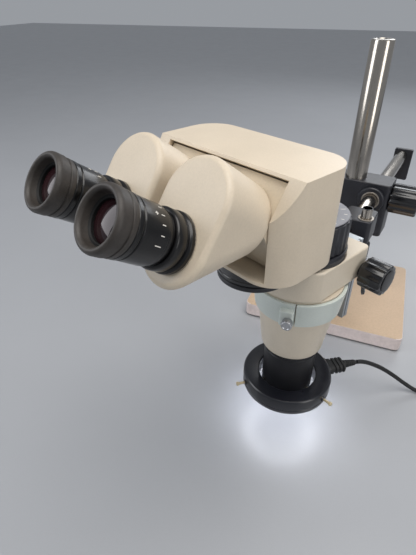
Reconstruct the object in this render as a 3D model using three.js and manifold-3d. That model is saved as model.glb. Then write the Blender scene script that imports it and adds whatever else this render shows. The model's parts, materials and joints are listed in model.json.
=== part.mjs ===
// Stereo microscope on a boom stand, with a ring light and its lead.
// Millimetres, +Z up. The origin is the centre of the base's underside, +Y points to the back.
import * as THREE from 'three';
import { mergeVertices } from 'three/addons/utils/BufferGeometryUtils.js';
import { ConvexGeometry } from 'three/addons/geometries/ConvexGeometry.js';
import Module from 'manifold-3d';

const wasm = await Module();
wasm.setup();

// Driving dimensions.
const GAP = 0.3; // clearance between touching pieces
const SIDES = 20; // sides of a large round
const FINE_SIDES = 10; // sides of a small round

const BASE = { width: 243.4, depth: 211.4, top: 25.2, corner: 10, mat: 2 };
const POLE = { x: 4.5, y: 48.8, radius: 16, top: 398 };
const ROD = { x: 34.6, y: 26, z: 182, radius: 10.8, front: 98, back: 234, yaw: -8.8 };
const CLAMP = { left: -58, right: 25, front: -3, back: 43, low: -61, high: 25 };
const POST = { x: 33.6, y: -81, radius: 7, low: 128, high: 212 };

const SCOPE = { x: -16, y: -267.8, yaw: -25.8 }; // optical axis and its turn on the stand
const RING = { inner: 34.1, outer: 52.8, low: 50.7, high: 70.7, lead: 60, screws: [2, 122, 242] };
const BARREL = { radius: 29.8, low: 50, high: 118.3 };
const CONE = { lowRadius: 34.4, highRadius: 45.1, low: 118.6, high: 207, wall: 4 };
const HOLDER = { bore: 40, radius: 47.3, halfWidth: 41.5, back: 53.5, low: 207.3, high: 241.3 };
const FOCUS = { y: 45, z: 216, shaft: 3, pinion: 4.2, knob: 16.3, lever: 41.9, inner: 46, outer: 70.5 };
const RAIL = { halfWidth: 28, front: 53.8, back: 63, low: 138, high: 240 };
const BRIDGE = { low: 245.4, high: 250, drumY: -73, drumRadius: 32.8 };
const ZOOM = { radius: 39.4, low: 250.5, high: 280.5 };
const HEAD = { halfWidth: 71.5, front: -132, back: -55, low: 286.4, high: 360.1, wall: 4, mouth: 59 };
const EYE_TILT = 35.27; // height of the eyepiece axes above level, degrees
const PIVOT = { x: 32.3, y: -130, z: 327.8 }; // prism housing pivot on the front panel
const HOUSING = { radius: 27.5, reach: 28.6, depth: 46 };

const CABLE = { radius: 2.75, lying: 2.8 };
const COIL = { x: 213, y: -144, inner: 24.4, outer: 35.6, height: 22 };
const CABLE_ROUTE = [
  [61.9, -214.9, 62], [66.5, -211.6, 61.2], [76.8, -203.6, 55], [93, -194.5, 44], [110.7, -185.3, 28.5],
  [128.8, -180, 14], [146, -177.6, 4.4], [160, -176.4, 2.9], [176, -175.4, 2.8], [190.6, -175, 2.8],
];

const rad = THREE.MathUtils.degToRad;
const UP = new THREE.Vector3(0, 0, 1);

const FINISH = {
  cream: { color: 0xd9cdbb, roughness: 0.45, metalness: 0 },
  base: { color: 0xcdb9a3, roughness: 0.5, metalness: 0 },
  band: { color: 0xc9cfc8, roughness: 0.4, metalness: 0 },
  black: { color: 0x1b1b1f, roughness: 0.35, metalness: 0 },
  rubber: { color: 0x191817, roughness: 0.8, metalness: 0 },
  grey: { color: 0x8d9096, roughness: 0.5, metalness: 0 },
  chrome: { color: 0xb9b4ac, roughness: 0.12, metalness: 1 },
  steel: { color: 0x9fa3a8, roughness: 0.35, metalness: 1 },
  brass: { color: 0xd8c7a4, roughness: 0.35, metalness: 1 },
  alloy: { color: 0xb7babd, roughness: 0.45, metalness: 1 },
  glass: { color: 0xc9b6c9, roughness: 0.05, metalness: 0 },
  light: { color: 0xf4f6ff, roughness: 0.6, metalness: 0 },
};

// A closed geometry as a solid, with its faces pointing out.
function solid(geometry) {
  const plain = geometry.clone();
  plain.deleteAttribute('normal');
  plain.deleteAttribute('uv');
  const merged = mergeVertices(plain, 1e-3);
  const position = merged.attributes.position.array;
  const corners = merged.index.array;
  const triangles = [];
  for (let i = 0; i < corners.length; i += 3) {
    const [a, b, c] = [corners[i], corners[i + 1], corners[i + 2]];
    if (a !== b && b !== c && c !== a) triangles.push(a, b, c);
  }
  if (signedVolume(position, triangles) < 0) triangles.reverse();
  return new wasm.Manifold(new wasm.Mesh({
    numProp: 3,
    vertProperties: new Float32Array(position),
    triVerts: new Uint32Array(triangles),
  }));
}

function signedVolume(position, triangles) {
  const corner = (k) => new THREE.Vector3().fromArray(position, 3 * triangles[k]);
  let volume = 0;
  for (let i = 0; i < triangles.length; i += 3) {
    volume += corner(i).dot(corner(i + 1).cross(corner(i + 2))) / 6;
  }
  return volume;
}

// A named mesh of one solid, in its group's frame.
function piece(name, finish, shape) {
  const made = shape.getMesh();
  const geometry = new THREE.BufferGeometry();
  geometry.setAttribute('position', new THREE.BufferAttribute(made.vertProperties, 3));
  geometry.setIndex(new THREE.BufferAttribute(made.triVerts, 1));
  geometry.computeVertexNormals();
  const mesh = new THREE.Mesh(geometry, new THREE.MeshStandardMaterial(FINISH[finish]));
  mesh.name = name;
  return mesh;
}

// Profile points are [radius, height]; the solid of revolution stands on +Z.
function lathe(profile, sides = SIDES) {
  const points = profile.map(([radius, height]) => new THREE.Vector2(radius, height));
  return new THREE.LatheGeometry(points, sides).rotateX(Math.PI / 2);
}

function discShape(radius, low, high, sides = SIDES) {
  return lathe([[0, low], [radius, low], [radius, high], [0, high]], sides);
}

function tubeShape(inner, outer, low, high, sides = SIDES) {
  return lathe([[inner, low], [outer, low], [outer, high], [inner, high], [inner, low]], sides);
}

const disc = (...sizes) => solid(discShape(...sizes));
const tube = (...sizes) => solid(tubeShape(...sizes));

// Moves a shape made on +Z so that it starts at a point and runs along a direction.
function aimed(geometry, from, direction) {
  const turn = new THREE.Quaternion().setFromUnitVectors(UP, new THREE.Vector3(...direction).normalize());
  return geometry.applyQuaternion(turn).translate(...from);
}

function box(low, high) {
  const size = low.map((value, k) => high[k] - value);
  const centre = low.map((value, k) => (high[k] + value) / 2);
  return solid(new THREE.BoxGeometry(...size).translate(...centre));
}

function roundedOutline(left, right, front, back, radius) {
  const shape = new THREE.Shape();
  shape.absarc(right - radius, front + radius, radius, -Math.PI / 2, 0);
  shape.absarc(right - radius, back - radius, radius, 0, Math.PI / 2);
  shape.absarc(left + radius, back - radius, radius, Math.PI / 2, Math.PI);
  shape.absarc(left + radius, front + radius, radius, Math.PI, 1.5 * Math.PI);
  return shape;
}

function extruded(shape, low, high, bevel = 0, curveSegments = 3) {
  const options = {
    depth: high - low - 2 * bevel, curveSegments, bevelEnabled: bevel > 0,
    bevelThickness: bevel, bevelSize: bevel, bevelOffset: -bevel, bevelSegments: 1,
  };
  return new THREE.ExtrudeGeometry(shape, options).translate(0, 0, low + bevel);
}

// An outline of [y, z] points, drawn out from x = -halfWidth to x = halfWidth.
function sideProfile(points, halfWidth) {
  const shape = new THREE.Shape(points.map(([y, z]) => new THREE.Vector2(y, z)));
  const geometry = new THREE.ExtrudeGeometry(shape, { depth: 2 * halfWidth, bevelEnabled: false });
  const turn = new THREE.Matrix4().makeBasis(
    new THREE.Vector3(0, 1, 0), new THREE.Vector3(0, 0, 1), new THREE.Vector3(1, 0, 0));
  return solid(geometry.applyMatrix4(turn).translate(-halfWidth, 0, 0));
}

// A round bar with straight flutes along it.
function fluted(radius, flutes, depth, low, high) {
  const outline = [];
  for (let k = 0; k < 2 * flutes; k += 1) {
    const reach = k % 2 ? radius - depth : radius;
    const angle = Math.PI * (k + 0.5) / flutes;
    outline.push(new THREE.Vector2(reach * Math.cos(angle), reach * Math.sin(angle)));
  }
  return extruded(new THREE.Shape(outline), low, high, 1);
}

function circlePoints(x, y, z, radius, sides) {
  return Array.from({ length: sides }, (_, k) => new THREE.Vector3(
    x + radius * Math.cos(2 * Math.PI * k / sides), y + radius * Math.sin(2 * Math.PI * k / sides), z));
}

const hull = (points) => solid(new ConvexGeometry(points));

// A small knurled screw: a shank with a fluted head at its end, along a direction.
function thumbscrew(from, direction, shank, length, headRadius, headLength) {
  const stem = solid(aimed(discShape(shank, 0, length + 1, FINE_SIDES), from, direction));
  const head = solid(aimed(fluted(headRadius, 7, 0.5, length, length + headLength), from, direction));
  return stem.add(head);
}

function stand() {
  const group = new THREE.Group();
  const outline = (grow) => roundedOutline(-BASE.width / 2 - grow, BASE.width / 2 + grow,
    -BASE.depth / 2 - grow, BASE.depth / 2 + grow, BASE.corner + grow);
  group.add(piece('base_mat', 'rubber', solid(extruded(outline(-4), 0, BASE.mat))));
  const poleHole = solid(discShape(POLE.radius + GAP, 7, BASE.top + 1).translate(POLE.x, POLE.y, 0));
  const boltHole = solid(discShape(5.5, 0, 8, FINE_SIDES).translate(POLE.x, POLE.y, 0));
  const plate = solid(extruded(outline(0), BASE.mat + GAP, BASE.top, 2));
  group.add(piece('base_plate', 'base', plate.subtract(poleHole).subtract(boltHole)));
  const thread = disc(5.5, 0, 32, FINE_SIDES);
  const pole = solid(lathe([[0, 7 + GAP], [POLE.radius, 7 + GAP], [POLE.radius, POLE.top - 2],
    [POLE.radius - 2, POLE.top], [0, POLE.top]]));
  const poleGroup = new THREE.Group();
  poleGroup.position.set(POLE.x, POLE.y, 0);
  poleGroup.add(piece('pole', 'chrome', pole.subtract(thread)));
  poleGroup.add(piece('pole_bolt', 'steel', disc(5, BASE.mat + GAP, 30, FINE_SIDES)));
  const collarLow = 182 + CLAMP.low - 15.6;
  const collarScrewHole = solid(aimed(discShape(3.3, 0, 40, FINE_SIDES), [0, 0, collarLow + 7.5], [1, 0, 0]));
  poleGroup.add(piece('pole_collar', 'black',
    tube(POLE.radius + GAP, 26, collarLow, collarLow + 15).subtract(collarScrewHole)));
  poleGroup.add(piece('collar_screw', 'steel',
    thumbscrew([POLE.radius + 2 * GAP, 0, collarLow + 7.5], [1, 0, 0], 3, 11, 7, 10)));
  group.add(poleGroup);
  return group;
}

// Everything on the horizontal rod, in a frame with -Y along the rod to the front.
function boom() {
  const group = new THREE.Group();
  group.position.set(ROD.x, ROD.y, ROD.z);
  group.rotation.z = rad(ROD.yaw);
  const turn = rad(-ROD.yaw);
  const away = [POLE.x - ROD.x, POLE.y - ROD.y];
  const poleX = away[0] * Math.cos(turn) - away[1] * Math.sin(turn);
  const poleY = away[0] * Math.sin(turn) + away[1] * Math.cos(turn);
  const poleBore = solid(discShape(POLE.radius + GAP, CLAMP.low - 1, CLAMP.high + 1).translate(poleX, poleY, 0));
  const rodBore = (radius) => solid(aimed(discShape(radius, 0, 100), [0, -30, 0], [0, 1, 0]));
  const outline = roundedOutline(CLAMP.left, CLAMP.right, CLAMP.front, CLAMP.back, 5);
  const boss = solid(aimed(tubeShape(12, 20, 0, 8), [0, CLAMP.front - 6, 0], [0, 1, 0]));
  const knobHole = solid(aimed(discShape(5.3, 0, 20, FINE_SIDES), [10, 20, 0], [1, 0, 0]));
  const block = solid(extruded(outline, CLAMP.low, CLAMP.high, 2)).add(boss)
    .subtract(poleBore).subtract(rodBore(ROD.radius + GAP)).subtract(knobHole);
  group.add(piece('clamp_block', 'black', block));
  const knobStem = solid(aimed(discShape(5, 0, 18, FINE_SIDES), [11.3, 20, 0], [1, 0, 0]));
  const knobHead = solid(aimed(fluted(23, 12, 1.5, 0, 42), [CLAMP.right + GAP, 20, 0], [1, 0, 0]));
  group.add(piece('clamp_knob', 'black', knobStem.add(knobHead)));
  const rod = aimed(lathe([[0, 0], [ROD.radius - 1, 0], [ROD.radius, 1], [ROD.radius, ROD.front + ROD.back],
    [0, ROD.front + ROD.back]]), [0, -ROD.front, 0], [0, 1, 0]);
  group.add(piece('boom_rod', 'chrome', solid(rod)));
  const plateOutline = roundedOutline(-14, 19, -46, 14, 3);
  const plate = extruded(plateOutline, 0, 8, 1).rotateX(Math.PI / 2).translate(0, ROD.back + 8 + GAP, 0);
  group.add(piece('boom_end_plate', 'black', solid(plate)));
  return group;
}

// The cross clamp at the rod's front end, its post and the arm that carries the focus rail.
function frontClamp() {
  const group = new THREE.Group();
  group.position.set(ROD.x, ROD.y, ROD.z);
  group.rotation.z = rad(ROD.yaw);
  const postX = 15.4;
  const postY = -105.9;
  const socket = solid(aimed(discShape(ROD.radius + GAP, 0, 40), [0, -ROD.front - GAP, 0], [0, 1, 0]));
  const postBore = solid(discShape(POST.radius + 2 * GAP, -40, 40).translate(postX, postY, 0));
  const screwHole = solid(aimed(discShape(3.8, 0, 20, FINE_SIDES), [-5, -126, -2], [0, 1, 0]));
  const body = solid(extruded(roundedOutline(-15, 26, -119, -74, 5), -19, 15, 1.5));
  group.add(piece('knuckle', 'black', body.subtract(socket).subtract(postBore).subtract(screwHole)));
  group.add(piece('knuckle_screw', 'chrome', thumbscrew([-5, -109, -2], [0, -1, 0], 3.5, 10.5, 8, 12)));
  return group;
}

function focusArm() {
  // A bar from the post to the back of the rail, with the post standing in it.
  const scope = new THREE.Vector2(SCOPE.x, SCOPE.y);
  const behind = new THREE.Vector2(0, RAIL.back + 8 + GAP).rotateAround(new THREE.Vector2(), rad(SCOPE.yaw));
  const railBack = scope.clone().add(behind);
  const low = POST.low + 6;
  const bar = [...circlePoints(POST.x, POST.y, low, 13, 16), ...circlePoints(POST.x, POST.y, low + 26, 13, 16),
    ...circlePoints(railBack.x, railBack.y, low, 8, 16), ...circlePoints(railBack.x, railBack.y, low + 26, 8, 16)];
  const post = solid(discShape(POST.radius, low + 10, POST.high).translate(POST.x, POST.y, 0));
  return piece('focus_arm', 'black', hull(bar).add(post));
}

function focusRail() {
  const group = new THREE.Group();
  const grooves = box([RAIL.halfWidth - 3, RAIL.front + 3, 0], [RAIL.halfWidth + 1, RAIL.front + 5, 300])
    .add(box([-RAIL.halfWidth - 1, RAIL.front + 3, 0], [-RAIL.halfWidth + 3, RAIL.front + 5, 300]));
  const plate = box([-RAIL.halfWidth, RAIL.front, RAIL.low], [RAIL.halfWidth, RAIL.back, RAIL.high]);
  group.add(piece('focus_rail', 'alloy', plate.subtract(grooves)));
  const front = FOCUS.y + FOCUS.pinion + GAP;
  const outline = [[RAIL.front - GAP, RAIL.low + 12], [RAIL.front - GAP, RAIL.high - 2], [front, RAIL.high - 2]];
  const pitch = 4;
  for (let z = RAIL.high - 4; z > RAIL.low + 14; z -= pitch) {
    outline.push([front, z], [front + 1.2, z - 1], [front + 1.2, z - 2], [front, z - 3]);
  }
  outline.push([front, RAIL.low + 12]);
  group.add(piece('focus_rack', 'steel', sideProfile(outline, 4.5)));
  return group;
}

function carriage() {
  const group = new THREE.Group();
  const ring = solid(lathe([[0, HOLDER.low], [HOLDER.radius - 1, HOLDER.low], [HOLDER.radius, HOLDER.low + 1],
    [HOLDER.radius, HOLDER.high - 2], [HOLDER.radius - 2, HOLDER.high], [0, HOLDER.high]], 24));
  const outline = roundedOutline(-HOLDER.halfWidth, HOLDER.halfWidth, 5, HOLDER.back, 5);
  const block = solid(extruded(outline, HOLDER.low, HOLDER.high, 1.5));
  const bore = disc(HOLDER.bore, HOLDER.low - 1, HOLDER.high + 1, 24);
  const shaftBore = solid(aimed(discShape(FOCUS.shaft + GAP, 0, 140, FINE_SIDES), [-70, FOCUS.y, FOCUS.z], [1, 0, 0]));
  const rackSlot = box([-5.6, FOCUS.y - FOCUS.pinion - GAP, HOLDER.low - 1], [5.6, HOLDER.back + 1, HOLDER.high + 1]);
  const holder = ring.add(block).subtract(bore).subtract(shaftBore).subtract(rackSlot);
  group.add(piece('holder', 'cream', holder));
  const along = (geometry, x) => solid(aimed(geometry, [x, FOCUS.y, FOCUS.z], [1, 0, 0]));
  group.add(piece('focus_shaft', 'steel', along(discShape(FOCUS.shaft, -62, 62, FINE_SIDES), 0)));
  const pinion = along(fluted(FOCUS.pinion, 12, 1.1, -5, 5), 0);
  group.add(piece('focus_pinion', 'brass', pinion.subtract(along(discShape(FOCUS.shaft + 0.05, -9, 9, FINE_SIDES), 0))));
  for (const [side, name] of [[1, 'right'], [-1, 'left']]) {
    const length = FOCUS.outer - FOCUS.inner;
    const knob = solid(aimed(fluted(FOCUS.knob, 14, 0.9, 0, length), [side * FOCUS.inner, FOCUS.y, FOCUS.z],
      [side, 0, 0]));
    const socket = along(discShape(FOCUS.shaft + GAP, -62 - GAP, 62 + GAP, FINE_SIDES), 0);
    group.add(piece(`focus_knob_${name}`, 'black', knob.subtract(socket)));
  }
  const hub = along(tubeShape(FOCUS.shaft + GAP, 8.5, 0, 3.6), FOCUS.lever);
  const lever = solid(extruded(roundedOutline(-2.2, 2.2, -34, -7, 2), 0, 3, 0.5)
    .applyMatrix4(new THREE.Matrix4().makeBasis(
      new THREE.Vector3(0, 0.94, 0.342), new THREE.Vector3(0, -0.342, 0.94), new THREE.Vector3(1, 0, 0)))
    .translate(FOCUS.lever + 0.3, FOCUS.y, FOCUS.z));
  group.add(piece('tension_lever', 'black', hub.add(lever)));
  return group;
}

function pod() {
  const group = new THREE.Group();
  const tubeTop = HOLDER.high - 5;
  const cone = solid(lathe([[26, CONE.low], [CONE.lowRadius - 2, CONE.low], [CONE.lowRadius, CONE.low + 2],
    [CONE.highRadius, CONE.high], [HOLDER.bore - 0.4, CONE.high], [HOLDER.bore - 0.4, tubeTop],
    [HOLDER.bore - CONE.wall, tubeTop], [HOLDER.bore - CONE.wall, CONE.high - 6],
    [CONE.lowRadius - CONE.wall, CONE.low + 8], [26, CONE.low + 6], [26, CONE.low]], 24));
  group.add(piece('pod_cone', 'cream', cone));
  group.add(piece('neck_ring', 'grey', solid(lathe([[28, tubeTop + GAP], [HOLDER.bore - 0.6, tubeTop + GAP],
    [HOLDER.bore - 0.6, BRIDGE.low - GAP], [28, BRIDGE.low - GAP], [28, tubeTop + GAP]], 24))));
  group.add(piece('objective_barrel', 'black', solid(lathe([[23, BARREL.low], [BARREL.radius - 1, BARREL.low],
    [BARREL.radius, BARREL.low + 1], [BARREL.radius, BARREL.high], [25.6, BARREL.high], [25.6, BARREL.high + 6],
    [23, BARREL.high + 6], [23, BARREL.low]]))));
  group.add(piece('objective_lens', 'glass', solid(lathe([[0, 56], [12, 57], [22.7, 60], [22.7, 65], [12, 66.5],
    [0, 67]]))));
  for (const [name, low] of [['zoom_cell_lower', 142], ['zoom_cell_upper', 182]]) {
    group.add(piece(name, 'black', solid(lathe([[0, low], [26, low], [26, low + 12], [20, low + 12],
      [16, low + 9], [0, low + 8]], FINE_SIDES))));
  }
  const coneRadius = (z) => THREE.MathUtils.mapLinear(z, CONE.low + 2, CONE.high, CONE.lowRadius, CONE.highRadius);
  const band = { low: 176, high: 205, thick: 3.9 };
  const bandRing = solid(lathe([[coneRadius(band.low) + GAP, band.low], [coneRadius(band.low) + band.thick, band.low],
    [coneRadius(band.high) + band.thick, band.high], [coneRadius(band.high) + GAP, band.high],
    [coneRadius(band.low) + GAP, band.low]], 24));
  const lugAngle = rad(-62);
  const outward = [Math.cos(lugAngle), Math.sin(lugAngle), 0];
  const turned = (shape) => solid(shape.rotateZ(lugAngle));
  const lug = turned(new THREE.BoxGeometry(9, 20, 18).translate(coneRadius(190) + 6.5, 0, 190));
  const split = turned(new THREE.BoxGeometry(30, 1.6, 60).translate(50, 4, 190));
  const screwHole = solid(aimed(discShape(2.8, 0, 40, FINE_SIDES), outward.map((v) => 30 * v).map(
    (v, k) => (k === 2 ? 190 : v)), outward));
  const coneCut = solid(lathe([[0, band.low - 20], [coneRadius(band.low - 20) + GAP, band.low - 20],
    [coneRadius(band.high) + GAP, band.high], [0, band.high]], 24));
  group.add(piece('clamp_band', 'band', bandRing.add(lug).subtract(coneCut).subtract(split).subtract(screwHole)));
  const screwStart = coneRadius(190) + 1;
  group.add(piece('band_screw', 'steel', thumbscrew([screwStart * outward[0], screwStart * outward[1], 190],
    outward, 2.5, 12, 5.5, 8)));
  group.add(piece('bridge_plate', 'black', hull([
    ...circlePoints(0, 0, BRIDGE.low, HOLDER.bore + 0.5, SIDES), ...circlePoints(0, 0, BRIDGE.high, HOLDER.bore + 0.5, SIDES),
    ...circlePoints(0, BRIDGE.drumY, BRIDGE.low, BRIDGE.drumRadius, SIDES),
    ...circlePoints(0, BRIDGE.drumY, BRIDGE.high, BRIDGE.drumRadius, SIDES)])));
  const cavity = disc(ZOOM.radius - 5, ZOOM.low - 1, ZOOM.high - 4);
  group.add(piece('zoom_knob', 'black', solid(fluted(ZOOM.radius, 24, 0.8, ZOOM.low, ZOOM.high)).subtract(cavity)));
  group.add(piece('zoom_knob_cap', 'grey', disc(ZOOM.radius - 2, ZOOM.high + GAP, ZOOM.high + 2)));
  return group;
}

// The inclined front of the head: outline points are [y, z], from the top edge down to the chin.
const TOP_EDGE = [-112, HEAD.high];
const CHIN = [HEAD.front, 330.4];

// A point of the panel that the prism housings turn on, at a distance up it from their pivots.
const onPanel = (up) => [PIVOT.y + up * Math.sin(rad(EYE_TILT)), PIVOT.z + up * Math.cos(rad(EYE_TILT))];

function head() {
  const group = new THREE.Group();
  group.add(piece('head_base_drum', 'black', solid(lathe([[24, BRIDGE.high + GAP],
    [BRIDGE.drumRadius, BRIDGE.high + GAP], [BRIDGE.drumRadius, HEAD.low - GAP], [24, HEAD.low - GAP],
    [24, BRIDGE.high + GAP]]).translate(0, BRIDGE.drumY, 0))));
  const outline = (inset) => roundedOutline(-HEAD.halfWidth + inset, HEAD.halfWidth - inset,
    HEAD.front + inset, HEAD.back - inset, 24 - inset);
  const sky = 420;
  const overSlope = (inset) => sideProfile([[TOP_EDGE[0] + inset, TOP_EDGE[1]], [TOP_EDGE[0] + inset, sky],
    [-200, sky], [-200, CHIN[1] - 102], [CHIN[0] + inset, CHIN[1]]], 100);
  const outer = solid(extruded(outline(0), HEAD.low, HEAD.high, 2)).subtract(overSlope(0));
  const inner = solid(extruded(outline(HEAD.wall), HEAD.low + 3, HEAD.high - HEAD.wall))
    .subtract(overSlope(HEAD.wall + 1));
  const mouth = sideProfile([[-150.8, 384.7], [-103.5, 351.2], [-103.5, HEAD.low + 3], [-150.8, HEAD.low + 3]],
    HEAD.mouth);
  const lightHole = solid(discShape(20, HEAD.low - 1, HEAD.low + 4).translate(0, BRIDGE.drumY, 0));
  group.add(piece('head_shell', 'cream', outer.subtract(inner).subtract(mouth).subtract(lightHole)));
  const block = sideProfile([onPanel(33.5), onPanel(-2.8), [-114, 290.8], [-104, 290.8], [-104, 350.5]],
    HEAD.mouth - GAP);
  const ports = [1, -1].map((side) => solid(aimed(discShape(14.8, -60, 60), [side * PIVOT.x, PIVOT.y, PIVOT.z],
    [0, -Math.cos(rad(EYE_TILT)), Math.sin(rad(EYE_TILT))])));
  group.add(piece('front_block', 'cream', block.subtract(ports[0]).subtract(ports[1])));
  return group;
}

// One eyepiece side, in a frame with +Z along the eyepiece axis and the origin on the housing's pivot.
function eyeSide(side, name) {
  const group = new THREE.Group();
  group.position.set(side * PIVOT.x, PIVOT.y, PIVOT.z);
  group.rotation.x = rad(90 - EYE_TILT);
  const { radius, reach, depth } = HOUSING;
  const back = 0.6;
  const shell = hull([
    ...circlePoints(0, 0, back, radius - 1, SIDES),
    ...circlePoints(0, 0, depth - 2, radius, SIDES), ...circlePoints(0, -reach, depth - 2, radius, SIDES),
    ...circlePoints(0, 0, depth, radius - 2, SIDES), ...circlePoints(0, -reach, depth, radius - 2, SIDES)]);
  const spigot = tube(10, 14.4, -13, back + 2);
  const rearBore = disc(10, -14, 8);
  const eyeBore = solid(discShape(15.3, 25, depth + 1).translate(0, -reach, 0));
  const cavity = sideProfile([[14, 6], [-15.8, 6], [-38.5, 25.6], [14, 25.6]], 13);
  group.add(piece(`prism_housing_${name}`, 'cream',
    shell.add(spigot).subtract(rearBore).subtract(cavity).subtract(eyeBore)));
  group.add(piece(`prism_${name}`, 'glass', sideProfile([[13, 7], [-15.2, 7], [-36, 25], [13, 25]], 12)));
  const onEye = (profile) => solid(lathe(profile).translate(0, -reach, 0));
  group.add(piece(`eyepiece_${name}`, 'black', onEye([[12, 28], [15, 28], [15, 46.4], [19.4, 46.4], [19.4, 50.4],
    [17.2, 51.2], [17.2, 52.4], [18.8, 53], [18.8, 60], [17.4, 60.8], [14.4, 60.8], [14.4, 83.5], [12, 83.5],
    [12, 28]])));
  group.add(piece(`diopter_ring_${name}`, 'black', onEye([[14.8, 61.2], [17.4, 61.2], [18.2, 62.2], [17.2, 84],
    [14.8, 84], [14.8, 61.2]])));
  group.add(piece(`eyecup_${name}`, 'rubber', onEye([[12.4, 84.4], [18, 84.4], [18.4, 85], [18.4, 88],
    [17.4, 89.2], [18.9, 94], [18.6, 98], [17, 100.6], [15, 101], [13, 100.2], [12.4, 98], [12.4, 84.4]])));
  group.add(piece(`eye_lens_${name}`, 'glass', onEye([[0, 86], [12, 86], [12, 90], [6, 91.6], [0, 92]])));
  return group;
}

function ringLight() {
  const group = new THREE.Group();
  const { inner, outer, low, high } = RING;
  const around = (angle, distance, z) => [distance * Math.cos(rad(angle)), distance * Math.sin(rad(angle)), z];
  const body = solid(lathe([[inner, low], [inner + 3, low], [inner + 3, high - 4.7], [outer - 3, high - 4.7],
    [outer - 3, low], [outer - 1.4, low], [outer, low + 1.8], [outer, high - 2.2], [outer - 1.8, high],
    [inner + 1.5, high], [inner, high - 1.5], [inner, low]], 28));
  const middle = 60.5;
  const holes = RING.screws.map((angle) => solid(aimed(discShape(1.9, 0, 30, 8), around(angle, 30, middle),
    around(angle, 1, 0))));
  const housing = holes.reduce((shape, hole) => shape.subtract(hole), body);
  group.add(piece('ring_light_housing', 'black', housing));
  group.add(piece('led_board', 'light', tube(inner + 3.3, outer - 3.3, 63.5, 65, 28)));
  group.add(piece('ring_light_diffuser', 'light', tube(inner + 3.3, outer - 3.3, low + 1, low + 3, 28)));
  RING.screws.forEach((angle, k) => {
    group.add(piece(`ring_screw_${k + 1}`, 'brass', thumbscrew(around(angle, BARREL.radius + GAP, middle),
      around(angle, 1, 0), 1.6, 31, 2.6, 3.5)));
  });
  const plugFrame = new THREE.Group();
  plugFrame.rotation.z = rad(RING.lead);
  const plugSection = roundedOutline(-10, 10, -5.5, 5.5, 3);
  const toX = (geometry) => geometry.applyMatrix4(new THREE.Matrix4().makeBasis(
    new THREE.Vector3(0, 1, 0), new THREE.Vector3(0, 0, 1), new THREE.Vector3(1, 0, 0)));
  const grip = solid(toX(extruded(plugSection, 0, 22, 1)).translate(outer + GAP + 0.1, 0, 62));
  const relief = solid(aimed(lathe([[0, 0], [5, 0], [3.6, 17.8], [0, 17.8]], FINE_SIDES), [outer + 22, 0, 62], [1, 0, 0]));
  plugFrame.add(piece('lead_plug', 'rubber', grip.add(relief)));
  group.add(plugFrame);
  return group;
}

// The lead from the ring light to its coil, and the plug at its far end.
function lead() {
  const group = new THREE.Group();
  const section = new THREE.Shape().absarc(0, 0, CABLE.radius, 0, 2 * Math.PI);
  const path = new THREE.CatmullRomCurve3(CABLE_ROUTE.map((point) => new THREE.Vector3(...point)));
  const run = new THREE.ExtrudeGeometry(section, { steps: 22, curveSegments: 4, extrudePath: path });
  group.add(piece('lead_cable', 'rubber', solid(run)));
  const coil = tubeShape(COIL.inner, COIL.outer, 0, COIL.height, 24).translate(COIL.x, COIL.y, 0);
  group.add(piece('lead_coil', 'rubber', solid(coil)));
  const grip = lathe([[0, 0], [3.4, 0], [5.5, 12], [5.5, 32], [4, 33], [2.75, 33], [2.75, 43], [0, 43]], FINE_SIDES);
  group.add(piece('far_plug', 'rubber', solid(aimed(grip, [COIL.x + 28.8, COIL.y - 26.3, 5.6], [0.966, 0.259, 0]))));
  return group;
}

const microscope = new THREE.Group();
microscope.add(stand(), boom(), frontClamp(), focusArm(), lead());
const scope = new THREE.Group();
scope.position.set(SCOPE.x, SCOPE.y, 0);
scope.rotation.z = rad(SCOPE.yaw);
scope.add(focusRail(), carriage(), pod(), head(), eyeSide(1, 'right'), eyeSide(-1, 'left'), ringLight());
microscope.add(scope);

export default microscope;
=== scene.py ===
import json
import math

import bmesh
import bpy
from mathutils import Matrix, Vector


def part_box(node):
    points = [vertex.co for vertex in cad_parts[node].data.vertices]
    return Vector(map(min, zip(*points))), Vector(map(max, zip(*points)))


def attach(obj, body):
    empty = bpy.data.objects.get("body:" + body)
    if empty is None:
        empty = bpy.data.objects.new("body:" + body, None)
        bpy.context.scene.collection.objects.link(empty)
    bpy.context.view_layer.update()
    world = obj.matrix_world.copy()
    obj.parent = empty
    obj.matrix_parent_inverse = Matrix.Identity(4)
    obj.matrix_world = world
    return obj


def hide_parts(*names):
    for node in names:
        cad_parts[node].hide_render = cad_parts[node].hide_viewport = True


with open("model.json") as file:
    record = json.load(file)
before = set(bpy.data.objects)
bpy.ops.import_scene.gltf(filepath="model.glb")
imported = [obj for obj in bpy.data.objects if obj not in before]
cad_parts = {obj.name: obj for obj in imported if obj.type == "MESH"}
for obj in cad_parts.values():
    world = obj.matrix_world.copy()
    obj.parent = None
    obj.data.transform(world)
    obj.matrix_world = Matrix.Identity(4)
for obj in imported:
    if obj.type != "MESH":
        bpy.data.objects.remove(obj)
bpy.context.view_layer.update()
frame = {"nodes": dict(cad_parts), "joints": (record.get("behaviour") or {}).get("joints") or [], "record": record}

# Lengths are millimetres in the named places below, and MM turns them into metres.
MM = 0.001
GAP = 0.3
ROUND = 96
FULL_TURN = 2 * math.pi

RECORD = frame["record"]
NODE_BODY = {node: body for body, nodes in RECORD["behaviour"]["bodies"].items() for node in nodes}
JOINTS = {joint["name"]: joint for joint in frame["joints"]}


def place_at(origin, x_axis, z_axis):
    """The matrix from a place's millimetres to the frame's metres."""
    x_axis = Vector(x_axis).normalized()
    z_axis = Vector(z_axis).normalized()
    y_axis = z_axis.cross(x_axis)
    turn = Matrix((x_axis, y_axis, z_axis)).transposed().to_4x4()
    return Matrix.Translation(Vector(origin)) @ turn @ Matrix.Scale(MM, 4)


def on_joint(name):
    return Vector(JOINTS[name]["pos_m"]), Vector(JOINTS[name]["axis"])


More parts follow.
